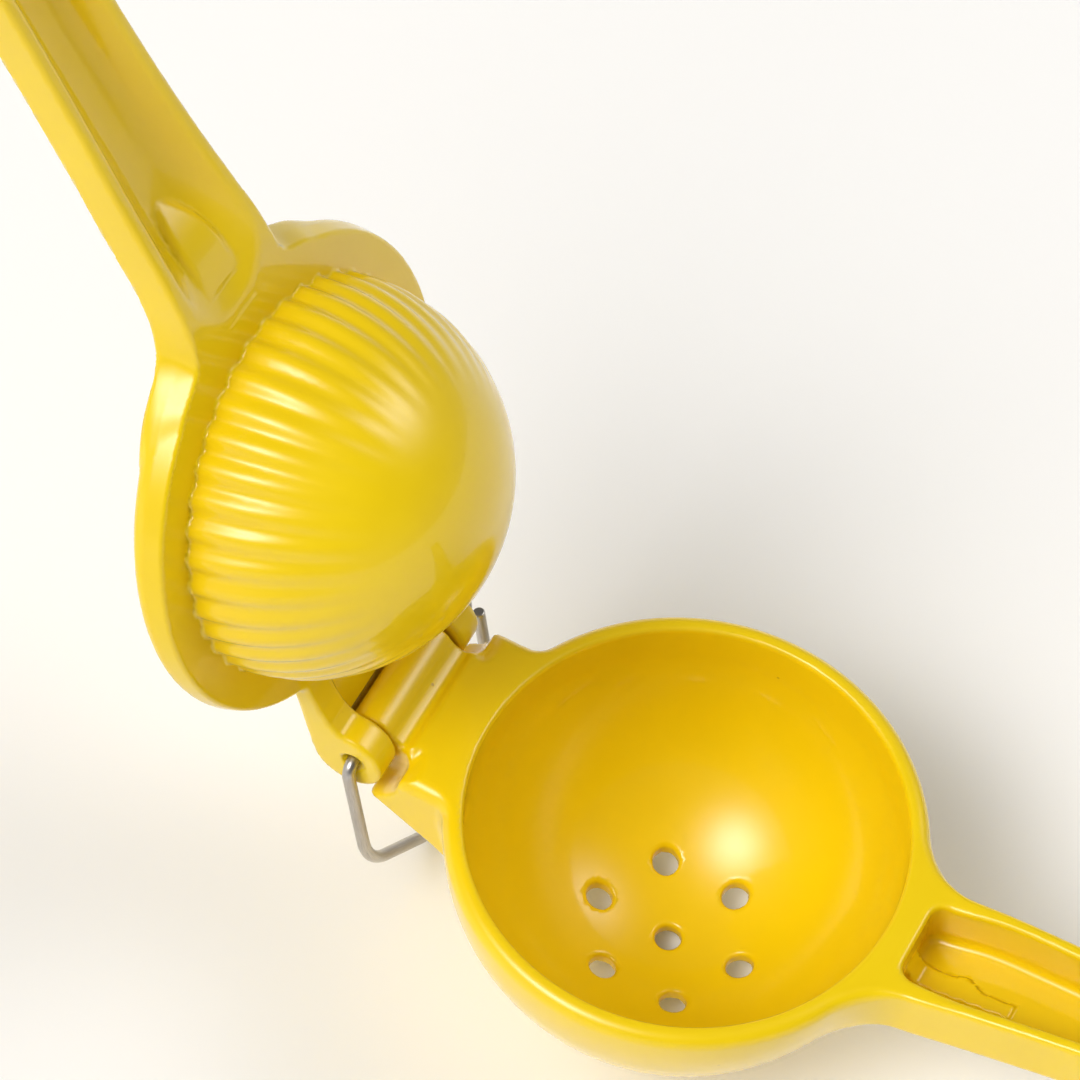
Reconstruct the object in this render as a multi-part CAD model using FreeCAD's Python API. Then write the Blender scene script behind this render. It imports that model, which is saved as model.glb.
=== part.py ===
import FreeCAD, Part
import math
import os

V = FreeCAD.Vector

# ---------------------------------------------------------------------------
# Hinged lemon squeezer, shown open.
# Frame: origin at the centre of the bowl's mouth, on the flat rim.
# +Z out of the bowl, +X along the lower handle, +Y along the hinge axis.
# All lengths in millimetres.
# ---------------------------------------------------------------------------

# bowl
R_IN = 35.0            # inner radius of the mouth
STRAIGHT = 3.7         # short straight wall below the rim
R_CUP = 35.2           # inner sphere
R_OUT = 38.25          # outer sphere
Z_OUT = -2.2           # height of the outer sphere's centre
R_BASE, Z_BASE = 37.6, -4.1       # second sphere, which thickens the bowl's bottom
R_HOLE = 2.15          # drain hole
R_RING = 12.86         # ring of six drain holes around the centre one
R_RIM = 0.9            # rounded inner edge of the rim
R_RIM_OUT = 1.8        # rounded outer edge of the rim

# hinge
HX, HZ = -50.9, -1.2   # hinge axis, parallel to Y
OPEN_DEG = 107.463     # opening angle of the stored pose
R_KNUCKLE = 4.0        # barrel of the lower arm
KNUCKLE_Y = 10.4       # half length of the barrel
LUG_IN, LUG_OUT = 10.8, 16.3
R_WIRE = 1.05
R_BORE = 1.12          # running fit on the wire's ends
R_MOUTH = 1.85         # countersunk mouth of each lug hole
R_RECESS = 8.7         # round recess that the lug ends turn in
PLATE_X = -44.4        # end of the neck's flat top
WEB_X = -42.3          # end of the neck's side webs
WEB_Y = 16.2           # half width of the neck

# plunger arm, drawn closed: collar face at local z = 0, dome pointing down
DOME_DX, DOME_DZ = 0.387, 2.326   # local frame's place when closed
R_DOME = 31.25
Z_DOME = -0.77         # dome's sphere centre below the collar face
R_BACK = 28.5          # hollow back of the dome
R_COLLAR = 38.1
T_HINGE, T_GRIP = 2.8, 6.2        # collar depth at the hinge side, at the handle side
R_FRONT, R_REAR = 0.5, 1.9        # rounded edges of the collar, dome side and back

# wire bail: one wire bent to a ring, its two cut ends near each other on the far side
BAIL_DEG = 9.7         # hanging angle, from straight down towards the bowl
Y_NEAR, Y_FAR = -17.8, 23.1       # its two legs
Y_STUB = 20.0          # short end that comes out of the hinge
S_STUB, S_END = 4.8, 9.7          # where the two ends stop, below the hinge axis
LEG = 27.0             # lower corners below the hinge axis
SLANT = 48.0           # lean of the lower sides
R_BEND, R_CORNER, R_TIP = 2.2, 14.0, 9.0

# handles: (x, outer half width, height of the wall's top edge, depth of the section)
LOWER = [(36.0, 10.9, 0.0, 12.0), (43.0, 10.35, 0.05, 12.1), (50.0, 9.95, 1.75, 12.2),
         (57.0, 9.5, 3.3, 12.2), (66.0, 8.9, 5.0, 12.1), (76.0, 8.4, 6.9, 11.9),
         (90.0, 8.1, 9.5, 11.5), (110.0, 8.2, 13.2, 11.2), (135.0, 8.9, 17.8, 11.0),
         (150.0, 9.4, 20.6, 10.6), (160.0, 9.6, 22.4, 10.2)]
UPPER = [(36.0, 11.9, 0.0, 6.6), (43.5, 11.3, 0.15, 7.3), (49.5, 10.9, 1.2, 7.4),
         (57.8, 10.3, 3.3, 7.6), (66.0, 9.8, 5.35, 7.4), (74.0, 9.35, 7.1, 7.5),
         (88.0, 8.85, 10.0, 7.7), (110.0, 8.7, 14.2, 8.0), (135.0, 9.0, 18.9, 8.0),
         (150.0, 9.4, 21.6, 7.8), (160.0, 9.6, 23.3, 7.6)]
WALL = 2.2             # handle wall
FLOOR = 2.0            # floor of the upper handle
FLOOR_LOW = 2.0        # floor of the lower handle
END_WALL_X = 40.0      # end wall of the lower channel, at the bowl
END_SOLID = 4.0        # solid tip of each handle


def poly_face(points):
    pts = [V(*p) for p in points]
    return Part.Face(Part.makePolygon(pts + [pts[0]]))


def prism_xz(points, y0, y1):
    """Solid of a closed (x, z) outline between two values of y."""
    return poly_face([(x, y0, z) for x, z in points]).extrude(V(0, y1 - y0, 0))


def prism_xy(points, z0, z1):
    """Solid of a closed (x, y) outline between two heights."""
    return poly_face([(x, y, z0) for x, y in points]).extrude(V(0, 0, z1 - z0))


def cyl_y(r, y0, y1, x=HX, z=HZ):
    return Part.makeCylinder(r, y1 - y0, V(x, y0, z), V(0, 1, 0))


def spline(points):
    c = Part.BSplineCurve()
    c.interpolate([V(*p) for p in points])
    return c.toShape()


def interp(stations, x, k):
    for a, b in zip(stations, stations[1:]):
        if a[0] <= x <= b[0]:
            t = (x - a[0]) / (b[0] - a[0])
            return a[k] + t * (b[k] - a[k])
    return stations[-1][k]


def plan_prism(stations, inset, x0, x_end, z0, z1):
    """Prism of a handle's plan outline: half widths along x, and a round end."""
    r = stations[-1][1] - inset
    xc = x_end - r
    ups = [(x, w - inset) for x, w, _, _ in stations if x0 + 1.0 < x < xc - 3.0]
    ups = [(x0, interp(stations, x0, 1) - inset)] + ups + [(xc, r)]
    top = spline([(x, y, z0) for x, y in ups])
    bot = spline([(x, -y, z0) for x, y in reversed(ups)])
    arc = Part.Arc(V(xc, r, z0), V(x_end, 0, z0), V(xc, -r, z0)).toShape()
    lid = Part.LineSegment(V(x0, -ups[0][1], z0), V(x0, ups[0][1], z0)).toShape()
    return Part.Face(Part.Wire([top, arc, bot, lid])).extrude(V(0, 0, z1 - z0))


def side_prism(top, bot, half):
    """Prism between two smooth side outlines, given as (x, z) points along x."""
    a = spline([(x, -half, z) for x, z in top])
    b = spline([(x, -half, z) for x, z in reversed(bot)])
    e1 = Part.LineSegment(V(top[-1][0], -half, top[-1][1]), V(bot[-1][0], -half, bot[-1][1])).toShape()
    e2 = Part.LineSegment(V(bot[0][0], -half, bot[0][1]), V(top[0][0], -half, top[0][1])).toShape()
    return Part.Face(Part.Wire([a, e1, b, e2])).extrude(V(0, 2 * half, 0))


def handle_block(stations, x_end, up):
    """Outer block of a handle: plan outline cut to its side outline.

    up = +1: the section lies below the wall's top edge; up = -1: above it.
    """
    plan = plan_prism(stations, 0.0, stations[0][0], x_end, -40, 60)
    top = [(x, z) for x, _, z, _ in stations]
    bot = [(x, z - up * d) for x, _, z, d in stations]
    return plan.common(side_prism(top, bot, 30))


def handle_channel(stations, x_start, x_end, up, wall, floor):
    """Space inside a handle's U section, open past the wall's top edge."""
    first = (x_start, interp(stations, x_start, 1), interp(stations, x_start, 2), interp(stations, x_start, 3))
    st = [first] + [s for s in stations if s[0] > x_start + 1.0]
    plan = plan_prism(st, wall, x_start, x_end - END_SOLID, -60, 80)
    over = [(x, z + up * 15) for x, _, z, _ in st]
    under = [(x, z - up * (d - floor)) for x, _, z, d in st]
    return plan.common(side_prism(over, under, 30))


def try_fillet(solid, radius, pick):
    edges = [e for e in solid.Edges if pick(e)]
    if not edges:
        return solid
    out = solid.makeFillet(radius, edges)
    if out.isValid() and len(out.Solids) == 1:
        return out
    return solid


# ---------------------------------------------------------------------------
# lower arm: bowl, neck with its barrel, and handle, one casting
# ---------------------------------------------------------------------------
def bowl_arm():
    outer = Part.makeSphere(R_OUT, V(0, 0, Z_OUT))
    outer = outer.cut(Part.makeBox(200, 200, 100, V(-100, -100, 0)))
    outer = try_fillet(outer, R_RIM_OUT, lambda e: abs(e.BoundBox.ZMin) < 0.01 and abs(e.BoundBox.ZMax) < 0.01)
    base = Part.makeSphere(R_BASE, V(0, 0, Z_BASE)).cut(Part.makeBox(200, 200, 100, V(-100, -100, -18)))
    outer = outer.fuse(base)

    # neck: middle bar with the barrel, and a web each side
    a = math.radians(40)
    bar = [(-30, 0), (PLATE_X, 0), (PLATE_X - 0.9, -2.3), (-47.2, -2.9), (HX, -3.0),
           (HX - 3.3, HZ - 3.9), (HX - 5.6, HZ - 4.7), (HX - 5.0, HZ - 6.3),
           (-45.5, -9.6), (-36.8, -15.4), (-30, -20.5)]
    neck = prism_xz(bar, -KNUCKLE_Y, KNUCKLE_Y)
    neck = neck.fuse(cyl_y(R_KNUCKLE, -KNUCKLE_Y, KNUCKLE_Y))
    web = [(-28, 0), (-46.5, 0), (-46.5, -7.1), (-36.8, -15.4), (-28, -22)]
    webs = prism_xz(web, -WEB_Y, WEB_Y)
    webs = webs.cut(cyl_y(R_RECESS, KNUCKLE_Y, 30)).cut(cyl_y(R_RECESS, -30, -KNUCKLE_Y))
    webs = webs.cut(Part.makeBox(10, 2 * KNUCKLE_Y, 30, V(PLATE_X - 10, -KNUCKLE_Y, -15)))
    # the webs stop short of the bar's end on each side
    for s in (1, -1):
        y0 = KNUCKLE_Y if s > 0 else -30
        webs = webs.cut(Part.makeBox(12, 30 - KNUCKLE_Y, 8, V(WEB_X - 12, y0, -0.9)))
    neck = neck.fuse(webs)

    grip = handle_block(LOWER, 160.0, 1)
    # the handle's root runs on into the bowl's wall
    root = prism_xz([(28, 0), (36.5, 0), (36.5, -12.0), (28, -12.0)], -10.9, 10.9)
    # flared corners between the rim and the handle, below the rim plane
    flare = []
    for i in range(0, 9):
        t = math.radians(90 * i / 8.0)
        flare.append((42.0 - 8.0 * math.cos(t), 10.4 + 6.0 * (1 - math.sin(t))))
    pts = [(30, 16.4)] + flare + [(42.0, -10.4)]
    pts += [(x, -y) for x, y in reversed(flare)] + [(30, -16.4)]
    clean = []
    for p in pts:
        if not clean or (abs(p[0] - clean[-1][0]) + abs(p[1] - clean[-1][1])) > 1e-6:
            clean.append(p)
    skirt = prism_xy(clean, -11.0, 0.0)

    arm = outer.fuse([neck, grip, root, skirt])

    # inside of the bowl
    cup = Part.makeSphere(R_CUP, V(0, 0, -STRAIGHT))
    cup = cup.cut(Part.makeBox(200, 200, 100, V(-100, -100, -STRAIGHT)))
    mouth = Part.makeCylinder(R_IN, STRAIGHT + 5, V(0, 0, -STRAIGHT))
    # the outer sphere is cut short where the straight wall and the cup meet
    arm = arm.cut(cup.common(Part.makeCylinder(R_IN, 60, V(0, 0, -50)))).cut(mouth)

    arm = arm.cut(handle_channel(LOWER, END_WALL_X, 160.0, 1, WALL, FLOOR_LOW))

    # drain holes
    for x, y in [(0, 0)] + [(R_RING * math.cos(math.radians(60 * i)), R_RING * math.sin(math.radians(60 * i)))
                            for i in range(6)]:
        arm = arm.cut(Part.makeCylinder(R_HOLE, 30, V(x, y, -50)))

    # gusset on the channel's floor, from its end wall
    gus = prism_xz([(39.5, -7.0), (41.5, -8.6), (43.2, -9.25), (50.0, -7.7), (57.8, -6.0), (57.8, -7.6),
                    (50.0, -9.4), (39.5, -11.2)], -2.7, 3.0)
    gus = gus.common(prism_xy([(39.0, 1.6), (44.0, 1.4), (46.2, 1.2), (48.8, 1.85), (50.2, 1.35), (51.8, 0.4),
                               (54.0, 0.1), (58.5, 0.05), (58.5, -3.0), (39.0, -3.0)], -15, 0))
    arm = arm.fuse(gus)

    arm = arm.cut(cyl_y(R_BORE, -KNUCKLE_Y - 1, KNUCKLE_Y + 1)).removeSplitter()
    arm = try_fillet(arm, R_RIM, lambda e: abs(getattr(e.Curve, "Radius", 0) - R_IN) < 0.01
                     and abs(e.BoundBox.ZMax) < 0.01 and abs(e.BoundBox.ZMin) < 0.01)
    return arm


# ---------------------------------------------------------------------------
# upper arm: ribbed dome, collar, two lugs and handle, one casting
# ---------------------------------------------------------------------------
def plunger_arm():
    hx, hz = HX - DOME_DX, HZ - DOME_DZ      # hinge in the local frame
    k = (T_GRIP - T_HINGE) / (2 * R_COLLAR)
    # collar disc with a slanted back
    disc = Part.makeCylinder(R_COLLAR, 12, V(0, 0, 0))
    x0, x1 = -60, 60
    back = [(x0, T_HINGE + k * (x0 + R_COLLAR)), (x1, T_HINGE + k * (x1 + R_COLLAR)), (x1, 40), (x0, 40)]
    disc = disc.cut(prism_xz(back, -60, 60))
    disc = try_fillet(disc, R_FRONT, lambda e: e.BoundBox.YLength > 60 and e.BoundBox.ZMax < 0.01)
    disc = try_fillet(disc, R_REAR, lambda e: e.BoundBox.YLength > 60 and e.BoundBox.ZMax > 3.0)
    dome = Part.makeSphere(R_DOME, V(0, 0, Z_DOME))
    dome = dome.cut(Part.makeBox(200, 200, 100, V(-100, -100, 1.0)))

    # lugs, around the hinge
    def rel(points):
        return [(hx + x, hz + z) for x, z in points]
    end = []
    for i in range(0, 25):
        t = math.radians(-15 - 255 * i / 24.0)
        end.append((6.1 * math.cos(t), 1.05 + 6.1 * math.sin(t)))
    lug = [(20.0, 3.4), (15.5, 2.95), (11.5, 2.4), (8.6, 1.7), (7.0, 0.7), (6.2, -0.55 + 0.1)] + end[1:] + \
          [(6.0, 7.0), (12.5, 6.6), (20.0, 6.5)]
    lugs = []
    for y0, y1 in ((-LUG_OUT, -LUG_IN), (LUG_IN, LUG_OUT)):
        lugs.append(prism_xz(rel(lug), y0, y1))
    # web between the lugs, arched over the barrel; its end is the opening stop
    arch = [(4.8 * math.cos(math.radians(t)), 4.8 * math.sin(math.radians(t))) for t in range(48, 115, 6)]
    web = [(20.0, 3.526)] + arch + [(-2.0, 5.2), (-2.0, 7.1), (6.0, 7.0), (12.5, 6.6), (20.0, 6.5)]
    web = prism_xz(rel(web), -LUG_IN, LUG_IN)

    grip = handle_block(UPPER, 160.0, -1)
    root = prism_xz([(26, 0), (37, 0), (37, T_GRIP), (26, T_GRIP - 0.3)], -11.5, 11.5)
    # flared corners between collar and handle, wider at the back than at the face
    face = [(28.5, 16.9), (33.6, 16.4), (34.6, 14.9), (35.8, 13.6), (37.4, 12.7), (39.2, 12.0), (41.4, 11.5),
            (43.6, 11.2), (47.0, 10.9)]
    rear = [(28.5, 23.6), (31.6, 21.7), (33.6, 19.9), (35.3, 18.1), (36.9, 16.4), (38.6, 14.9), (40.8, 13.5),
            (43.4, 12.3), (47.0, 11.1)]
    loops = []
    for z, side in ((0.0, face), (7.0, rear)):
        pts = [V(x, y, z) for x, y in side] + [V(x, -y, z) for x, y in reversed(side)]
        loops.append(Part.makePolygon(pts + [pts[0]]))
    skirt = Part.makeLoft(loops, True, True)
    top = [(x, z) for x, _, z, _ in UPPER[:4]]
    bot = [(x, z + d) for x, _, z, d in UPPER[:4]]
    skirt = skirt.common(prism_xz([(20, 0)] + top + bot[::-1] + [(20, 5.2)], -30, 30))

    arm = disc.fuse([dome, grip, root, skirt, web] + lugs)
    arm = arm.cut(Part.makeSphere(R_BACK, V(0, 0, Z_DOME)))
    # hollow back runs out through the collar
    arm = arm.cut(Part.makeCylinder(R_BACK - 0.05, 20, V(0, 0, Z_DOME)))
    arm = arm.cut(handle_channel(UPPER, 43.0, 160.0, -1, WALL - 0.2, FLOOR))
    # gusset ramp from the end wall down to the channel's floor
    gus = prism_xz([(42.5, 2.2), (44.0, 2.4), (54.5, 7.0), (54.5, 9.0), (42.5, 6.8)], -4.8, 4.8)
    arm = arm.fuse(gus)

    # lug holes, each with a countersunk mouth on its outer side
    arm = arm.cut(cyl_y(R_BORE, -30, 30, hx, hz))
    for s in (-1, 1):
        cone = Part.makeCone(R_BORE, R_MOUTH + 0.2, 1.7, V(hx, s * (LUG_OUT - 1.5), hz), V(0, s, 0))
        arm = arm.cut(cone)
    arm = arm.removeSplitter()
    arm.translate(V(DOME_DX, 0, DOME_DZ))
    arm.rotate(V(HX, 0, HZ), V(0, 1, 0), -OPEN_DEG)
    return arm


# ---------------------------------------------------------------------------
# wire bail: it runs through the hinge as its pin, and hangs as a loop below it
# ---------------------------------------------------------------------------
def bail_path():
    """Corners of the wire in its own plane: (y, distance from the hinge axis, bend radius)."""
    ym = (Y_NEAR + Y_FAR) / 2.0
    half = (Y_FAR - Y_NEAR) / 2.0
    tip = LEG + half / math.tan(math.radians(SLANT))
    return [(Y_FAR, S_END, 0), (Y_FAR, LEG, R_CORNER), (ym, tip, R_TIP), (Y_NEAR, LEG, R_CORNER),
            (Y_NEAR, 0, R_BEND), (Y_STUB, 0, R_BEND), (Y_STUB, S_STUB, 0)]


def wire_bail():
    a = math.radians(BAIL_DEG)
    d = V(math.sin(a), 0, -math.cos(a))

    def at(y, s):
        return V(HX, y, HZ) + d * s
    pts = bail_path()
    edges = []
    prev = at(pts[0][0], pts[0][1])
    for i in range(1, len(pts) - 1):
        p = at(pts[i][0], pts[i][1])
        ua = (at(pts[i - 1][0], pts[i - 1][1]) - p).normalize()
        ub = (at(pts[i + 1][0], pts[i + 1][1]) - p).normalize()
        r = pts[i][2]
        half = ua.getAngle(ub) / 2.0
        t = r / math.tan(half)
        t0 = p + ua * t
        t1 = p + ub * t
        mid = p + (ua + ub).normalize() * (r / math.sin(half) - r)
        edges.append(Part.LineSegment(prev, t0).toShape())
        edges.append(Part.Arc(t0, mid, t1).toShape())
        prev = t1
    edges.append(Part.LineSegment(prev, at(pts[-1][0], pts[-1][1])).toShape())
    ring = Part.Wire([Part.makeCircle(R_WIRE, at(Y_FAR, S_END), d)])
    return Part.Wire(edges).makePipeShell([ring], True, False)


def main():
    os.makedirs("parts", exist_ok=True)
    for name, shape in (("bowl_arm", bowl_arm()), ("plunger_arm", plunger_arm()), ("wire_bail", wire_bail())):
        solids = shape.Solids
        bb = shape.BoundBox
        print(name, "solids", len(solids), "valid", shape.isValid(), "volume", round(shape.Volume, 1),
              "box", [round(v, 2) for v in (bb.XMin, bb.XMax, bb.YMin, bb.YMax, bb.ZMin, bb.ZMax)])
        solids[0].exportStep("parts/%s.step" % name)


main()
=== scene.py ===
import math

import bpy
import numpy as np
from mathutils import Matrix


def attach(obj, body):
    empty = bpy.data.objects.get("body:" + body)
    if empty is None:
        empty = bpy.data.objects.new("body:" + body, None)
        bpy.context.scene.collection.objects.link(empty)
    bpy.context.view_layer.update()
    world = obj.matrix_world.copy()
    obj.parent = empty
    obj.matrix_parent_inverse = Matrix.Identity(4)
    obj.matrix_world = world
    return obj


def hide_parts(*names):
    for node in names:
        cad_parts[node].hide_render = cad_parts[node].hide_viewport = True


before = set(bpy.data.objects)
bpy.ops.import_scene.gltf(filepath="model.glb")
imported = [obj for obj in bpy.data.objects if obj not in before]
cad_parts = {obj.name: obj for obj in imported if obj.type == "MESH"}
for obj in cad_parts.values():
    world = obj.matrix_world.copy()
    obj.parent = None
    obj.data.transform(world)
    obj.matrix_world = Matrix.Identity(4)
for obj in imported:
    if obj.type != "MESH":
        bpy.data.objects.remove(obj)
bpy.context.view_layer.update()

# ---------------------------------------------------------------------------
# Sizes in millimetres, in the construction model's frame: origin at the centre
# of the bowl's mouth, +Z out of the bowl, +X along the lower handle.
# ---------------------------------------------------------------------------
MM = 0.001
R_IN, STRAIGHT, R_CUP = 35.0, 3.7, 35.2
R_OUT, Z_OUT = 38.25, -2.2
R_HOLE, R_RING = 2.15, 12.86
HX, HZ, OPEN_DEG = -50.9, -1.2, 107.463
R_KNUCKLE, KNUCKLE_Y = 4.0, 10.4
LUG_IN, LUG_OUT = 10.8, 16.3
R_WIRE, R_BORE, R_MOUTH = 1.05, 1.12, 1.85
R_RECESS = 7.75
PLATE_X, WEB_X, WEB_Y = -44.4, -42.3, 16.2
DOME_DX, DOME_DZ = 0.387, 2.326
R_DOME, Z_DOME, R_BACK = 31.25, -0.77, 28.5
R_COLLAR, T_HINGE, T_GRIP = 38.1, 2.8, 6.2
RIBS = 40
BAIL_DEG = 9.7
BAIL = [(23.1, 9.7, 0), (23.1, 27.0, 14.0), (2.65, 45.41, 9.0), (-17.8, 27.0, 14.0),
        (-17.8, 0, 2.2), (20.0, 0, 2.2), (20.0, 4.8, 0)]
R_BASE, Z_BASE = 37.6, -4.1
X_END, WALL, FLOOR = 160.0, 2.2, 2.0

# handles: (x, outer half width, height of the wall's top edge, depth of the section)
LOWER = [(36.0, 10.9, 0.0, 12.0), (43.0, 10.35, 0.05, 12.1), (50.0, 9.95, 1.75, 12.2),
         (57.0, 9.5, 3.3, 12.2), (66.0, 8.9, 5.0, 12.1), (76.0, 8.4, 6.9, 11.9),
         (90.0, 8.1, 9.5, 11.5), (110.0, 8.2, 13.2, 11.2), (135.0, 8.9, 17.8, 11.0),
         (150.0, 9.4, 20.6, 10.6), (160.0, 9.6, 22.4, 10.2)]
UPPER = [(36.0, 11.9, 0.0, 6.6), (43.5, 11.3, 0.15, 7.3), (49.5, 10.9, 1.2, 7.4),
         (57.8, 10.3, 3.3, 7.6), (66.0, 9.8, 5.35, 7.4), (74.0, 9.35, 7.1, 7.5),
         (88.0, 8.85, 10.0, 7.7), (110.0, 8.7, 14.2, 8.0), (135.0, 9.0, 18.9, 8.0),
         (150.0, 9.4, 21.6, 7.8), (160.0, 9.6, 23.3, 7.6)]


# ---------------------------------------------------------------------------
# distance fields: negative inside, positive outside
# ---------------------------------------------------------------------------
def uni(a, b, r):
    """Union with a hollow fillet of radius r."""
    return np.maximum(r, np.minimum(a, b)) - np.hypot(np.maximum(r - a, 0), np.maximum(r - b, 0))


def cut(a, b, r):
    """Common part with its edge rounded by r."""
    return np.minimum(-r, np.maximum(a, b)) + np.hypot(np.maximum(r + a, 0), np.maximum(r + b, 0))


def step(x, a, b):
    t = np.clip((x - a) / (b - a), 0, 1)
    return t * t * (3 - 2 * t)


def rounded(points, r):
    """Closed outline with each corner replaced by a small arc."""
    out = []
    n = len(points)
    for i in range(n):
        a, p, b = (np.array(points[(i + k) % n], float) for k in (-1, 0, 1))
        ua, ub = a - p, b - p
        la, lb = np.linalg.norm(ua), np.linalg.norm(ub)
        ua, ub = ua / la, ub / lb
        ang = math.acos(max(-1, min(1, float(ua @ ub)))) / 2
        if ang > math.radians(86):
            out.append(tuple(p))
            continue
        t = min(r / math.tan(ang), 0.45 * la, 0.45 * lb)
        rr = t * math.tan(ang)
        mid = (ua + ub) / np.linalg.norm(ua + ub)
        c = p + mid * (rr / math.sin(ang))
        p0, p1 = p + ua * t - c, p + ub * t - c
        a0 = math.atan2(p0[1], p0[0])
        da = math.atan2(p0[0] * p1[1] - p0[1] * p1[0], p0 @ p1)
        for k in range(5):
            q = a0 + da * k / 4
            out.append((c[0] + rr * math.cos(q), c[1] + rr * math.sin(q)))
    return out


def outline(x, z, points):
    """Signed distance to a closed outline in a plane."""
    d = np.full(x.shape, 1e9)
    s = np.ones(x.shape)
    j = len(points) - 1
    for i in range(len(points)):
        vx, vz = points[i]
        ex, ez = points[j][0] - vx, points[j][1] - vz
        wx, wz = x - vx, z - vz
        t = np.clip((wx * ex + wz * ez) / max(ex * ex + ez * ez, 1e-12), 0, 1)
        d = np.minimum(d, (wx - ex * t) ** 2 + (wz - ez * t) ** 2)
        c1, c2, c3 = z >= vz, z < points[j][1], ex * wz > ez * wx
        s = np.where((c1 & c2 & c3) | (~c1 & ~c2 & ~c3), -s, s)
        j = i
    return s * np.sqrt(d)


class Curve:
    """Smooth curve through (x, y) points, as a table."""

    def __init__(self, xs, ys, low=None):
        xs, ys = np.array(xs, float), np.array(ys, float)
        n = len(xs)
        h = np.diff(xs)
        a = np.zeros((n, n))
        b = np.zeros(n)
        a[0, 0] = a[-1, -1] = 1
        for i in range(1, n - 1):
            a[i, i - 1], a[i, i], a[i, i + 1] = h[i - 1], 2 * (h[i - 1] + h[i]), h[i]
            b[i] = 6 * ((ys[i + 1] - ys[i]) / h[i] - (ys[i] - ys[i - 1]) / h[i - 1])
        m = np.linalg.solve(a, b)
        self.x = np.linspace(xs[0], xs[-1], 1200)
        k = np.clip(np.searchsorted(xs, self.x) - 1, 0, n - 2)
        t, u = self.x - xs[k], xs[k + 1] - self.x
        self.y = (m[k] * u ** 3 + m[k + 1] * t ** 3) / (6 * h[k]) + (ys[k] / h[k] - m[k] * h[k] / 6) * u \
            + (ys[k + 1] / h[k] - m[k + 1] * h[k] / 6) * t
        if low is not None:
            self.y = np.maximum(self.y, low)

    def __call__(self, x):
        return np.interp(x, self.x, self.y)


class Handle:
    """Plan and side curves of one handle, with its channel."""

    def __init__(self, stations, inner, start):
        xs = [s[0] for s in stations]
        self.w = Curve(xs, [s[1] for s in stations])
        self.t = Curve(xs, [s[2] for s in stations], 0.0)
        self.d = Curve(xs, [s[3] for s in stations])
        self.r = stations[-1][1]
        self.xc = X_END - self.r
        self.wi = Curve([p[0] for p in inner], [p[1] for p in inner])
        self.ri = inner[-1][1]
        self.xi = X_END - 4.0 - self.ri
        self.start = start

    def side(self, x, y):
        return np.where(x < self.xc, np.abs(y) - self.w(np.minimum(x, self.xc)), np.hypot(x - self.xc, y) - self.r)

    def inside(self, x, y):
        return np.where(x < self.xi, np.abs(y) - self.wi(np.minimum(x, self.xi)), np.hypot(x - self.xi, y) - self.ri)


LOW = Handle(LOWER, [(38.0, 6.9), (44.0, 7.1), (49.0, 7.5), (57.0, 7.3), (66.0, 6.7), (76.0, 6.2), (90.0, 5.9),
                     (110.0, 6.0), (135.0, 6.7), (148.6, 7.2), (156.0, 7.4)], 40.0)
UPP = Handle(UPPER, [(34.0, 9.4), (43.0, 9.1), (50.0, 8.65), (57.8, 8.1), (66.0, 7.6), (74.0, 7.2), (88.0, 6.7),
                     (110.0, 6.55), (135.0, 6.85), (148.6, 7.25), (156.0, 7.45)], 43.0)

BAR = rounded([(-30, 9), (PLATE_X, 9), (PLATE_X, -0.6), (PLATE_X - 0.9, -2.3), (-47.2, -2.9), (HX, -3.0),
               (HX - 3.3, HZ - 3.9), (HX - 5.6, HZ - 4.7), (HX - 5.0, HZ - 6.3),
               (-45.5, -9.6), (-36.8, -15.4), (-30, -20.5)], 0.9)
WEB = rounded([(-28, 9), (WEB_X, 9), (WEB_X, -0.9), (-46.5, -0.9), (-48.6, -5.5), (-48.9, -8.3), (-36.8, -15.4), (-28, -22)], 0.8)


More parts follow.
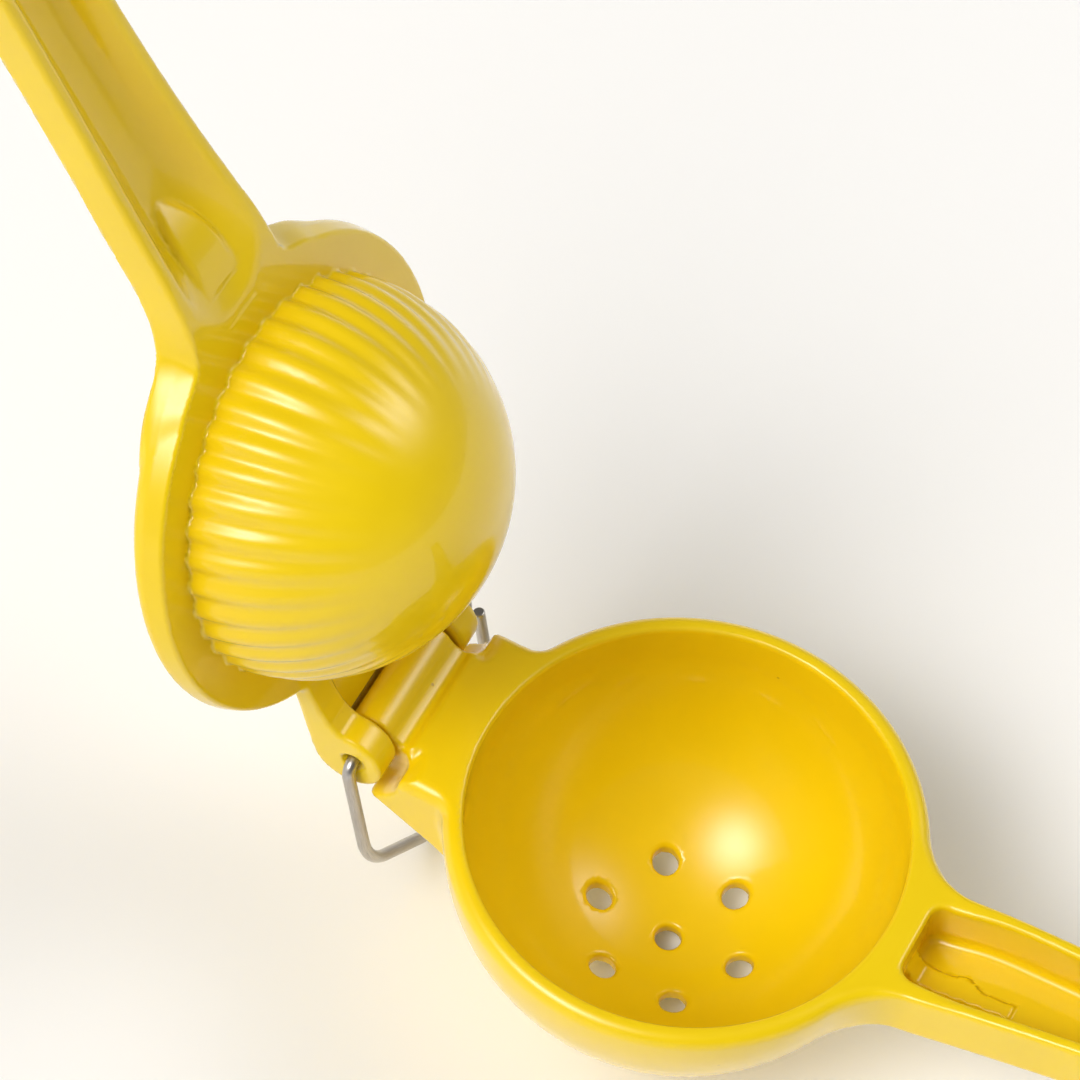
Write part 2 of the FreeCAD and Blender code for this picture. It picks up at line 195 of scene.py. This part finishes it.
def bowl_field(x, y, z):
    ya = np.abs(y)
    ball = np.minimum(np.sqrt(x * x + y * y + (z - Z_OUT) ** 2) - R_OUT,
                      np.sqrt(x * x + y * y + (z - Z_BASE) ** 2) - R_BASE)
    t = LOW.t(x)
    under = t - LOW.d(x)
    grip = cut(LOW.side(x, y), (under - z) / 1.02, 1.9)
    grip = cut(grip, 20 - x, 1.0)
    solid = uni(ball, grip, 7.0)

    # neck: middle bar with its barrel, and a web each side
    hinge = np.hypot(x - HX, z - HZ)
    bar = cut(outline(x, z, BAR), ya - KNUCKLE_Y, 0.6)
    web = cut(outline(x, z, WEB), ya - WEB_Y, 1.3)
    recess = cut(hinge - R_RECESS, KNUCKLE_Y - ya, 2.6)
    web = cut(web, -recess, 0.8)
    neck = uni(bar, web, 0.9)
    solid = uni(solid, neck, 1.6)

    # flat top, rounded more at the rim than along the handle
    wing = step(ya, 10.6, 12.4)
    edge = 2.1 - 1.2 * step(x, 37, 43) - 1.0 * step(-x, 42.0, 43.6) * (1 - wing) + 0.4 * step(-x, 33, 40) * wing
    solid = cut(solid, (z - t) / 1.02, edge)
    solid = uni(solid, cut(hinge - R_KNUCKLE, ya - KNUCKLE_Y, 0.7), 2.6)
    solid = cut(solid, -recess, 0.7)

    # inside of the bowl
    flat = np.hypot(x, y)
    cup = cut(np.hypot(flat, np.minimum(z + STRAIGHT, 0)) - R_CUP, flat - R_IN, 0.3)
    solid = cut(solid, -cup, 0.9)

    # channel of the handle, and the tongue on its floor
    floor = under + FLOOR
    room = cut(cut(LOW.inside(x, y), LOW.start - x, 2.4), (floor - z) / 1.02, 1.5)
    solid = cut(solid, -room, 0.8)
    top = floor + 0.75 + 2.4 * (1 - step(x, 40.0, 43.2)) ** 2
    tongue = cut(cut(np.maximum(y - TONGUE_Y(x), -2.7 - y), (z - top) / 1.1, 0.4), x - 57.8, 0.6)
    tongue = cut(tongue, 39.0 - x, 0.1)
    solid = uni(solid, np.maximum(tongue, under + 0.4 - z), 0.45)

    # drain holes with soft mouths
    for i in range(7):
        a = math.radians(60 * i)
        r = 0.0 if i == 6 else R_RING
        hole = np.hypot(x - r * math.cos(a), y - r * math.sin(a)) - R_HOLE
        solid = cut(solid, -hole, 0.75)
    return cut(solid, R_BORE - hinge, 0.12)


TONGUE_Y = Curve([38.0, 41.4, 44.0, 46.2, 47.5, 48.8, 50.2, 51.4, 52.4, 54.0, 56.5, 60.0],
                 [1.6, 1.5, 1.4, 1.2, 1.5, 1.85, 1.35, 0.55, 0.2, 0.1, 0.05, 0.05])

# plunger arm, drawn closed: collar face at z = 0, dome pointing down, z up its back
PX, PZ = HX - DOME_DX, HZ - DOME_DZ
LUG = rounded([(22.0, 3.6), (15.5, 2.95), (11.5, 2.4), (8.6, 1.7), (7.0, 0.8), (4.5, -0.3), (0.0, 1.05), (1.5, 7.0),
               (6.0, 7.0), (12.5, 6.6), (22.0, 6.5)], 1.5)
ARCH = [(20.0, 3.6)] + [(4.8 * math.cos(math.radians(t)), 4.8 * math.sin(math.radians(t))) for t in range(48, 115, 6)] + \
       [(-2.0, 5.2), (-2.0, 7.1), (6.0, 7.0), (12.5, 6.6), (20.0, 6.5)]
FACE_Y = Curve([26.0, 28.5, 31.0, 33.6, 34.6, 35.8, 37.4, 39.2, 41.4, 43.6, 47.0, 52.0],
               [16.9, 16.9, 16.7, 16.0, 14.6, 12.9, 11.7, 10.95, 10.5, 10.2, 10.0, 9.0])
REAR_Y = Curve([26.0, 28.5, 31.6, 33.6, 35.3, 36.9, 38.6, 40.8, 43.4, 47.0, 52.0],
               [24.6, 23.4, 21.5, 19.6, 17.6, 15.7, 14.1, 12.7, 11.3, 10.2, 9.0])
FLOOR_H = Curve([34.0, 37.6, 40.0, 43.0, 46.0, 50.0, 54.0, 58.0, 66.0, 74.0, 88.0, 110.0, 135.0, 150.0, 160.0],
                [0.10, 0.10, 1.05, 2.1, 2.8, 3.9, 5.0, 5.5, 5.4, 5.5, 5.7, 6.0, 6.0, 5.8, 5.6], 0.12)
FLOOR_Y = Curve([34.0, 43.0, 50.0, 58.0, 66.0, 80.0, 110.0, 160.0], [6.5, 4.6, 4.2, 3.9, 3.6, 3.3, 3.3, 3.6])
RIDGE_H = Curve([34.0, 42.0, 46.0, 50.0, 53.0, 55.6, 57.6, 60.0], [1.5, 1.45, 1.7, 2.1, 3.0, 4.3, 5.7, 8.0])
RIDGE_Y = Curve([34.0, 44.0, 50.0, 53.0, 56.0, 58.0, 60.0], [5.2, 4.9, 4.3, 3.6, 2.2, 1.2, 0.9])
RIB_PHASE = math.radians(5.5)


def plunger_field(x, y, z):
    ya = np.abs(y)
    flat = np.hypot(x, y)
    k = (T_GRIP - T_HINGE) / (2 * R_COLLAR)
    side = (flat - R_COLLAR + 0.7 - 0.2 * np.clip(z, -2.0, 3.3)) / 1.02
    solid = cut(side, (z - T_HINGE - k * (x + R_COLLAR)) / math.hypot(1, k), 1.7)

    t = UPP.t(x)
    back = t + UPP.d(x)
    grip = cut(UPP.side(x, y), (z - back) / 1.02, 0.9)
    grip = cut(grip, 26 - x, 1.0)
    s = np.clip(z / 7.0, 0, 1.1)
    wide = FACE_Y(x) * (1 - s) + REAR_Y(x) * s
    flare = cut(cut((ya - wide) * 0.78, z - back, 1.2), 27 - x, 1.0)
    flare = np.maximum(flare, x - 50.0)
    solid = uni(solid, uni(grip, flare, 1.5), 3.0)
    solid = cut(solid, (z - back) / 1.02, 0.9)
    # front: the collar's face, then the edge of the handle's walls
    edge = 0.5 + 0.35 * step(x, 38, 44)
    solid = cut(solid, (t - z) / 1.02, edge)

    # lugs and the arched web between them
    hx, hz = x - PX, z - PZ
    plate = np.full(x.shape, 1e3)
    near = x < -24
    plate[near] = outline(hx[near], hz[near], LUG)
    plate = uni(plate, np.hypot(hx, hz - 1.05) - 6.1, 1.0)
    lug = cut(plate, np.abs(ya - (LUG_IN + LUG_OUT) / 2) - (LUG_OUT - LUG_IN) / 2, 0.8)
    arch = cut(outline(hx, hz, ARCH), ya - LUG_IN - 0.4, 0.3)
    solid = uni(solid, uni(lug, arch, 0.7), 1.3)

    # dome with ribs that fade towards its tip
    pz = z - Z_DOME
    lat = np.degrees(np.arctan2(flat, -pz))
    depth = 0.76 * step(lat, 34.0, 88.0) ** 1.1 * ((1 - np.cos(RIBS * (np.arctan2(y, x) - RIB_PHASE))) / 2) ** 1.2
    dome = (np.sqrt(flat * flat + pz * pz) - R_DOME + depth) / 1.12
    dome = np.maximum(dome, z - 1.0)
    solid = uni(solid, dome, 0.3)
    hollow = np.hypot(flat, np.minimum(pz, 0)) - R_BACK
    solid = cut(solid, -hollow, 1.1)

    # channel of the handle, with a sloping end wall and a gusset
    depth = z - t
    inner = UPP.wi(np.minimum(x, UPP.xi))
    slope = np.clip((inner - FLOOR_Y(x)) / FLOOR_H(x), 0.5, 2.2)
    wall = np.where(x < UPP.xi, ya - inner, np.hypot(x - UPP.xi, y) - UPP.ri) + slope * depth
    base = (depth - FLOOR_H(x) + 0.035 * y * y) / 1.05
    room = cut(wall / np.hypot(1, slope), base, 0.35 + 0.95 * step(x, 44, 54))
    room = np.maximum(room, 37.0 - x)
    solid = cut(solid, -room, 0.55)
    ridge = cut((RIDGE_H(x) - depth) / 1.12, ya - RIDGE_Y(x), 1.7)
    ridge = np.maximum(cut(ridge, 42.2 - x, 0.5), np.maximum(x - 60.0, z - back + 0.5))
    solid = uni(solid, ridge, 0.45)

    # holes of the lugs, each with a countersunk mouth outside
    axis = np.hypot(hx, hz)
    solid = cut(solid, R_BORE - axis, 0.1)
    cone = (axis - R_BORE - (ya - 14.8) * 0.547) * 0.877
    return np.where(ya > 9, cut(solid, -cone, 0.15), solid)


# ---------------------------------------------------------------------------
# surface of a field: one point per cell that the surface crosses
# ---------------------------------------------------------------------------
CORNERS = np.array([(i, j, k) for i in (0, 1) for j in (0, 1) for k in (0, 1)])
EDGES = [(a, b) for a in range(8) for b in range(a + 1, 8) if np.abs(CORNERS[a] - CORNERS[b]).sum() == 1]


def gradient(field, p, e=0.04):
    g = np.empty_like(p)
    for k in range(3):
        a, b = p.copy(), p.copy()
        a[:, k] += e
        b[:, k] -= e
        g[:, k] = (field(*a.T) - field(*b.T)) / (2 * e)
    return g


def surface(field, low, high, h):
    low = np.array(low, float)
    size = np.array(high, float) - low
    nb = np.ceil(size / (8 * h)).astype(int)
    grid = np.stack(np.meshgrid(*[np.arange(n) for n in nb], indexing="ij"), -1).reshape(-1, 3)
    mid = low + (grid + 0.5) * 8 * h
    keep = []
    for i in range(0, len(mid), 60000):
        keep.append(np.abs(field(*mid[i:i + 60000].T)) < 0.866 * 8 * h * 1.2 + 0.9)
    grid = grid[np.concatenate(keep)]
    ids, points, owners = [], [], []
    cells = nb * 8 + 2
    r9 = np.arange(9)
    off = np.stack(np.meshgrid(r9, r9, r9, indexing="ij"), -1)
    cell = np.stack(np.meshgrid(*[np.arange(8)] * 3, indexing="ij"), -1)

    def number(c):
        return (c[:, 0] * cells[1] + c[:, 1]) * cells[2] + c[:, 2]

    for i in range(0, len(grid), 150):
        g = grid[i:i + 150]
        index = g[:, None, None, None, :] * 8 + off[None]
        p = low + index * h
        v = field(p[..., 0], p[..., 1], p[..., 2])
        inside = v < 0
        total = sum(inside[:, a:a + 8, b:b + 8, c:c + 8].astype(int) for a, b, c in CORNERS)
        act = np.argwhere((total > 0) & (total < 8))
        corner = np.stack([v[act[:, 0], act[:, 1] + a, act[:, 2] + b, act[:, 3] + c] for a, b, c in CORNERS], 1)
        acc = np.zeros((len(act), 3))
        num = np.zeros(len(act))
        for a, b in EDGES:
            va, vb = corner[:, a], corner[:, b]
            hit = (va < 0) != (vb < 0)
            t = np.where(hit, va / np.where(hit, va - vb, 1), 0)
            acc += np.where(hit[:, None], CORNERS[a] + t[:, None] * (CORNERS[b] - CORNERS[a]), 0)
            num += hit
        where = g[act[:, 0]] * 8 + act[:, 1:]
        points.append(low + (where + acc / num[:, None]) * h)
        ids.append(number(where + 1))
        for axis in range(3):
            one = [0, 0, 0]
            one[axis] = 1
            here = inside[:, :8, :8, :8]
            there = inside[:, one[0]:8 + one[0], one[1]:8 + one[1], one[2]:8 + one[2]]
            hit = np.argwhere(here != there)
            where = g[hit[:, 0]] * 8 + hit[:, 1:] + 1
            out = here[hit[:, 0], hit[:, 1], hit[:, 2], hit[:, 3]]
            u, w = (axis + 1) % 3, (axis + 2) % 3
            quad = []
            for du, dw in ((1, 1), (0, 1), (0, 0), (1, 0)):
                c = where.copy()
                c[:, u] -= du
                c[:, w] -= dw
                quad.append(number(c))
            quad = np.stack(quad, 1)
            quad[~out] = quad[~out][:, ::-1]
            owners.append(quad)
    ids = np.concatenate(ids)
    points = np.concatenate(points)
    quads = np.concatenate(owners)
    order = np.argsort(ids)
    ids, points = ids[order], points[order]
    place = np.searchsorted(ids, quads)
    assert (ids[np.minimum(place, len(ids) - 1)] == quads).all(), "a cell of the surface is missing"
    for _ in range(3):
        g = gradient(field, points)
        f = field(*points.T)
        move = f / np.maximum((g ** 2).sum(1), 0.25)
        points = points - g * np.clip(move, -0.5 * h, 0.5 * h)[:, None]
    g = gradient(field, points, 0.06)
    normals = g / np.maximum(np.linalg.norm(g, axis=1), 1e-9)[:, None]
    return points, place, normals


def new_mesh(name, verts, faces, normals=None):
    mesh = bpy.data.meshes.new(name)
    faces = np.asarray(faces)
    mesh.vertices.add(len(verts))
    mesh.vertices.foreach_set("co", np.asarray(verts, np.float32).ravel())
    n = faces.shape[1]
    mesh.loops.add(faces.size)
    mesh.loops.foreach_set("vertex_index", faces.astype(np.int32).ravel())
    mesh.polygons.add(len(faces))
    mesh.polygons.foreach_set("loop_start", np.arange(0, faces.size, n, dtype=np.int32))
    mesh.update(calc_edges=True)
    mesh.validate()
    mesh.polygons.foreach_set("use_smooth", np.ones(len(mesh.polygons), bool))
    if normals is not None and len(mesh.vertices) == len(normals):
        mesh.normals_split_custom_set_from_vertices([tuple(n) for n in normals])
    mesh.update()
    ob = bpy.data.objects.new(name, mesh)
    bpy.context.scene.collection.objects.link(ob)
    return ob


CELL = 0.68


def make_bowl():
    p, q, n = surface(bowl_field, (-59, -41, -43), (163, 41, 25), CELL)
    return new_mesh("bowl_and_handle", p * MM, q, n)


def make_plunger():
    p, q, n = surface(plunger_field, (-61, -41, -35), (163, 41, 34), CELL)
    a = math.radians(OPEN_DEG)
    p = p + np.array([DOME_DX, 0, DOME_DZ])
    dx, dz = p[:, 0] - HX, p[:, 2] - HZ
    w = np.stack([HX + dx * math.cos(a) - dz * math.sin(a), p[:, 1], HZ + dx * math.sin(a) + dz * math.cos(a)], 1)
    m = np.stack([n[:, 0] * math.cos(a) - n[:, 2] * math.sin(a), n[:, 1], n[:, 0] * math.sin(a) + n[:, 2] * math.cos(a)], 1)
    return new_mesh("ribbed_plunger_and_handle", w * MM, q, m)


def make_bail():
    """One drawn wire, bent by hand: round section, softened at its two cut ends."""
    a = math.radians(BAIL_DEG)
    down = np.array([math.sin(a), 0, -math.cos(a)])
    side = np.array([0, 1.0, 0])
    flat = np.cross(side, down)
    pts = []

    def run(p, q):
        n = max(2, int(np.linalg.norm(q - p) / 0.8))
        for i in range(n):
            pts.append(p + (q - p) * i / n)

    prev = np.array(BAIL[0][:2], float)
    for i in range(1, len(BAIL) - 1):
        p = np.array(BAIL[i][:2], float)
        ua = np.array(BAIL[i - 1][:2], float) - p
        ub = np.array(BAIL[i + 1][:2], float) - p
        ua, ub = ua / np.linalg.norm(ua), ub / np.linalg.norm(ub)
        half = math.acos(float(ua @ ub)) / 2
        r = BAIL[i][2]
        t = r / math.tan(half)
        c = p + (ua + ub) / np.linalg.norm(ua + ub) * (r / math.sin(half))
        run(prev, p + ua * t)
        p0, p1 = p + ua * t - c, p + ub * t - c
        turn = math.atan2(p0[0] * p1[1] - p0[1] * p1[0], p0 @ p1)
        a0 = math.atan2(p0[1], p0[0])
        n = max(10, int(abs(turn) * r / 0.45))
        for k in range(n):
            q = a0 + turn * k / n
            pts.append(c + r * np.array([math.cos(q), math.sin(q)]))
        prev = p + ub * t
    last = np.array(BAIL[-1][:2], float)
    run(prev, last)
    pts.append(last)
    pts = np.array(pts)
    tan = np.gradient(pts, axis=0)
    tan /= np.linalg.norm(tan, axis=1)[:, None]
    dist = np.concatenate([[0], np.cumsum(np.linalg.norm(np.diff(pts, axis=0), axis=1))])
    # rings: the cut ends are eased over 0.25 mm
    rings = []
    for s, p, t in zip(dist, pts, tan):
        rings.append((s, p, t, 1.0))
    for end, sign in ((0, 1), (-1, -1)):
        base = pts[end]
        t = tan[end]
        extra = [(dist[end] + sign * e, base + sign * t * e, t, r) for e, r in ((0.0, 0.74), (0.07, 0.87), (0.2, 0.97))]
        if end == 0:
            rings = extra + [q for q in rings if q[0] > 0.3]
        else:
            rings = [q for q in rings if q[0] < dist[-1] - 0.3] + extra[::-1]
    n = 22
    verts, uv = [], []
    for s, p, t, r in rings:
        t3 = side * t[0] + down * t[1]
        n3 = np.cross(t3, flat)
        c3 = np.array([HX, 0, HZ]) + side * p[0] + down * p[1]
        # the drawn wire is a hair out of round
        rr = R_WIRE * r * (1 - 0.006 * (1 + math.sin(s * 0.9)) / 2)
        for k in range(n):
            q = 2 * math.pi * k / n
            verts.append(c3 + rr * (math.cos(q) * flat + math.sin(q) * n3))
            uv.append((s / 10.0, k / n))
    faces = []
    m = len(rings)
    for i in range(m - 1):
        for k in range(n):
            faces.append((i * n + k, i * n + (k + 1) % n, (i + 1) * n + (k + 1) % n, (i + 1) * n + k))
    mesh = bpy.data.meshes.new("wire_ring")
    mesh.from_pydata([tuple(v * MM) for v in verts], [],
                     faces + [tuple(range(n))[::-1], tuple((m - 1) * n + k for k in range(n))])
    mesh.update()
    if sum(p.area * p.normal.dot(p.center) for p in mesh.polygons) < 0:
        mesh.flip_normals()
    layer = mesh.uv_layers.new(name="UVMap")
    for poly in mesh.polygons:
        wrap = max(uv[v][1] for v in poly.vertices) > 0.9 and min(uv[v][1] for v in poly.vertices) < 0.1
        for li, v in zip(poly.loop_indices, poly.vertices):
            u, w = uv[v]
            layer.data[li].uv = (u, w + 1 if wrap and w < 0.1 and len(poly.vertices) == 4 else w)
        poly.use_smooth = len(poly.vertices) == 4
    ob = bpy.data.objects.new("wire_ring", mesh)
    bpy.context.scene.collection.objects.link(ob)
    return ob


# ---------------------------------------------------------------------------
# materials
# ---------------------------------------------------------------------------
class Nodes:
    def __init__(self, name):
        self.mat = bpy.data.materials.new(name)
        self.mat.use_nodes = True
        self.nt = self.mat.node_tree
        self.bsdf = self.nt.nodes["Principled BSDF"]

    def add(self, kind, **props):
        node = self.nt.nodes.new(kind)
        for key, value in props.items():
            setattr(node, key, value)
        return node

    def link(self, a, b):
        self.nt.links.new(a, b)

    def noise(self, vector, scale, detail=2.0, rough=0.5):
        node = self.add("ShaderNodeTexNoise")
        node.inputs["Scale"].default_value = scale
        node.inputs["Detail"].default_value = detail
        node.inputs["Roughness"].default_value = rough
        self.link(vector, node.inputs["Vector"])
        return node.outputs["Fac"]

    def span(self, value, a, b, c, d, smooth=False):
        node = self.add("ShaderNodeMapRange")
        if smooth:
            node.interpolation_type = "SMOOTHSTEP"
        for key, v in zip(("From Min", "From Max", "To Min", "To Max"), (a, b, c, d)):
            node.inputs[key].default_value = v
        self.link(value, node.inputs["Value"])
        return node.outputs["Result"]

    def mix(self, fac, a, b):
        node = self.add("ShaderNodeMix", data_type="RGBA")
        self.link(fac, node.inputs["Factor"])
        for key, v in (("A", a), ("B", b)):
            sock = [s for s in node.inputs if s.name == key and s.type == "RGBA"][0]
            if isinstance(v, tuple):
                sock.default_value = v
            else:
                self.link(v, sock)
        return [s for s in node.outputs if s.type == "RGBA"][0]

    def math(self, op, a, b):
        node = self.add("ShaderNodeMath", operation=op)
        for sock, v in zip(node.inputs, (a, b)):
            if isinstance(v, (int, float)):
                sock.default_value = v
            else:
                self.link(v, sock)
        return node.outputs[0]


def enamel():
    """Glossy baked enamel over a casting: even colour with slow drifts, fine orange peel, a few specks."""
    n = Nodes("yellow_enamel")
    where = n.add("ShaderNodeTexCoord").outputs["Object"]
    slow = n.span(n.noise(where, 38, 3.0), 0.3, 0.7, 0.0, 1.0, True)
    colour = n.mix(slow, (0.850, 0.592, 0.0015, 1), (0.890, 0.628, 0.0020, 1))
    cloud = n.span(n.noise(where, 210, 2.0), 0.35, 0.7, 0.0, 0.35, True)
    colour = n.mix(cloud, colour, (0.860, 0.598, 0.0015, 1))
    # specks of dust in the coat: sparse, 0.2 to 0.5 mm
    speck = n.add("ShaderNodeTexVoronoi")
    speck.inputs["Scale"].default_value = 130
    n.link(where, speck.inputs["Vector"])
    dot = n.span(speck.outputs["Distance"], 0.028, 0.05, 1.0, 0.0, True)
    split = n.add("ShaderNodeSeparateColor")
    n.link(speck.outputs["Color"], split.inputs["Color"])
    rare = n.span(split.outputs["Red"], 0.86, 0.88, 0.0, 1.0)
    dot = n.math("MULTIPLY", dot, rare)
    colour = n.mix(n.math("MULTIPLY", dot, 0.55), colour, (0.33, 0.17, 0.01, 1))
    n.link(colour, n.bsdf.inputs["Base Color"])
    rough = n.span(n.noise(where, 95, 3.0), 0.3, 0.7, 0.30, 0.40)
    n.link(rough, n.bsdf.inputs["Roughness"])
    n.bsdf.inputs["IOR"].default_value = 1.5
    n.bsdf.inputs["Specular IOR Level"].default_value = 0.25
    n.bsdf.inputs["Coat Weight"].default_value = 0.85
    n.bsdf.inputs["Coat Roughness"].default_value = 0.075
    n.bsdf.inputs["Coat IOR"].default_value = 1.43
    peel = n.noise(where, 620, 2.0, 0.4)
    wave = n.noise(where, 120, 1.0, 0.4)
    height = n.math("ADD", n.math("MULTIPLY", peel, 0.25), wave)
    height = n.math("ADD", height, n.math("MULTIPLY", dot, 0.8))
    bump = n.add("ShaderNodeBump")
    bump.inputs["Strength"].default_value = 0.35
    bump.inputs["Distance"].default_value = 0.00006
    n.link(height, bump.inputs["Height"])
    n.link(bump.outputs["Normal"], n.bsdf.inputs["Normal"])
    n.link(bump.outputs["Normal"], n.bsdf.inputs["Coat Normal"])
    return n.mat


def steel():
    """Drawn stainless wire: satin, with fine lines along its length."""
    n = Nodes("drawn_steel_wire")
    uv = n.add("ShaderNodeUVMap", uv_map="UVMap").outputs["UV"]
    grain_map = n.add("ShaderNodeMapping")
    grain_map.inputs["Scale"].default_value = (1.2, 26.0, 1.0)
    n.link(uv, grain_map.inputs["Vector"])
    grain = n.noise(grain_map.outputs["Vector"], 2.4, 4.0, 0.6)
    where = n.add("ShaderNodeTexCoord").outputs["Object"]
    cloud = n.noise(where, 160, 3.0)
    colour = n.mix(n.span(grain, 0.3, 0.7, 0.0, 1.0), (0.40, 0.375, 0.35, 1), (0.60, 0.575, 0.545, 1))
    colour = n.mix(n.span(cloud, 0.4, 0.7, 0.0, 0.4), colour, (0.44, 0.395, 0.345, 1))
    n.link(colour, n.bsdf.inputs["Base Color"])
    n.bsdf.inputs["Metallic"].default_value = 1.0
    n.link(n.span(n.math("ADD", n.math("MULTIPLY", grain, 0.6), n.math("MULTIPLY", cloud, 0.4)), 0.3, 0.7, 0.24, 0.42),
           n.bsdf.inputs["Roughness"])
    bump = n.add("ShaderNodeBump")
    bump.inputs["Strength"].default_value = 0.5
    bump.inputs["Distance"].default_value = 0.00003
    n.link(grain, bump.inputs["Height"])
    n.link(bump.outputs["Normal"], n.bsdf.inputs["Normal"])
    return n.mat


def floor_paint():
    n = Nodes("pale_floor")
    where = n.add("ShaderNodeTexCoord").outputs["Object"]
    colour = n.mix(n.noise(where, 3.0, 2.0), (0.955, 0.95, 0.945, 1), (0.975, 0.97, 0.965, 1))
    n.link(colour, n.bsdf.inputs["Base Color"])
    n.bsdf.inputs["Roughness"].default_value = 0.85
    n.bsdf.inputs["Specular IOR Level"].default_value = 0.2
    return n.mat


# ---------------------------------------------------------------------------
# pieces
# ---------------------------------------------------------------------------
YELLOW, STEEL = enamel(), steel()
for piece, node, look, slot in ((make_bowl(), "bowl_arm", YELLOW, "enamel"),
                                (make_plunger(), "plunger_arm", YELLOW, "enamel"),
                                (make_bail(), "wire_bail", STEEL, "steel_wire")):
    piece.data.materials.append(look)
    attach(piece, node)
    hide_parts(node)
    print(piece.name, "faces", len(piece.data.polygons))

# ---------------------------------------------------------------------------
# floor, light, camera
# ---------------------------------------------------------------------------
s = 3.0
floor = new_mesh("floor", [(-s, -s, -0.0447), (s, -s, -0.0447), (s, s, -0.0447), (-s, s, -0.0447)], [(0, 1, 2, 3)])
floor.data.materials.append(floor_paint())

world = bpy.data.worlds.new("studio")
bpy.context.scene.world = world
world.use_nodes = True
wt = world.node_tree
wt.nodes.clear()
out = wt.nodes.new("ShaderNodeOutputWorld")
back = wt.nodes.new("ShaderNodeBackground")
wt.links.new(back.outputs[0], out.inputs[0])
direction = wt.nodes.new("ShaderNodeTexCoord").outputs["Generated"]


def wmath(op, a, b=0.0):
    node = wt.nodes.new("ShaderNodeMath")
    node.operation = op
    for sock, v in zip(node.inputs, (a, b)):
        if isinstance(v, (int, float)):
            sock.default_value = v
        else:
            wt.links.new(v, sock)
    return node.outputs[0]


def soft_box(az, el, spread, power):
    """A soft round lamp far away, seen under a bell-shaped falloff."""
    a, e = math.radians(az), math.radians(el)
    dot = wt.nodes.new("ShaderNodeVectorMath")
    dot.operation = "DOT_PRODUCT"
    wt.links.new(direction, dot.inputs[0])
    dot.inputs[1].default_value = (math.cos(a) * math.cos(e), math.sin(a) * math.cos(e), math.sin(e))
    k = 1.0 / math.radians(spread) ** 2
    return wmath("MULTIPLY", wmath("EXPONENT", wmath("MULTIPLY", wmath("SUBTRACT", dot.outputs["Value"], 1.0), k)), power)


xyz = wt.nodes.new("ShaderNodeSeparateXYZ")
wt.links.new(direction, xyz.inputs[0])
up = wmath("MAXIMUM", xyz.outputs["Z"], 0.0)
low = wmath("POWER", wmath("SUBTRACT", 1.0, up), 4.0)
total = wmath("ADD", 0.12, wmath("MULTIPLY", low, 0.75))
# the side that the handles point away from is the darker one
total = wmath("MULTIPLY", total, wmath("ADD", 1.0, wmath("MULTIPLY", xyz.outputs["X"], -0.60)))
total = wmath("MULTIPLY", total, wmath("ADD", 1.0, wmath("MULTIPLY", xyz.outputs["Y"], -0.30)))
for box in ((-118, 53, 10.0, 13.4), (44, 45, 10.0, 5.6)):
    total = wmath("ADD", total, soft_box(*box))
colour = wt.nodes.new("ShaderNodeCombineColor")
for sock, k in zip(colour.inputs, (1.0, 0.985, 0.955)):
    wt.links.new(wmath("MULTIPLY", total, k), sock)
wt.links.new(colour.outputs[0], back.inputs["Color"])
back.inputs["Strength"].default_value = 1.0

cam = bpy.data.cameras.new("camera")
cam.sensor_width = 36.0
cam.sensor_fit = "HORIZONTAL"
cam.lens = 4974.97 / 1080.0 * 36.0
cam.clip_start, cam.clip_end = 0.05, 20.0
camera = bpy.data.objects.new("camera", cam)
bpy.context.scene.collection.objects.link(camera)
X = (0.87945237, 0.47257009, 0.05693004)
Y = (0.42927313, -0.73577609, -0.52379207)
Z = (-0.20564070, 0.48508871, -0.84994167)
P = (0.12027424, -0.35468219, 0.68100194)
camera.matrix_world = Matrix(((X[0], -Y[0], -Z[0], P[0]), (X[1], -Y[1], -Z[1], P[1]),
                              (X[2], -Y[2], -Z[2], P[2]), (0, 0, 0, 1)))
bpy.context.scene.camera = camera
bpy.context.scene.view_settings.view_transform = "Standard"
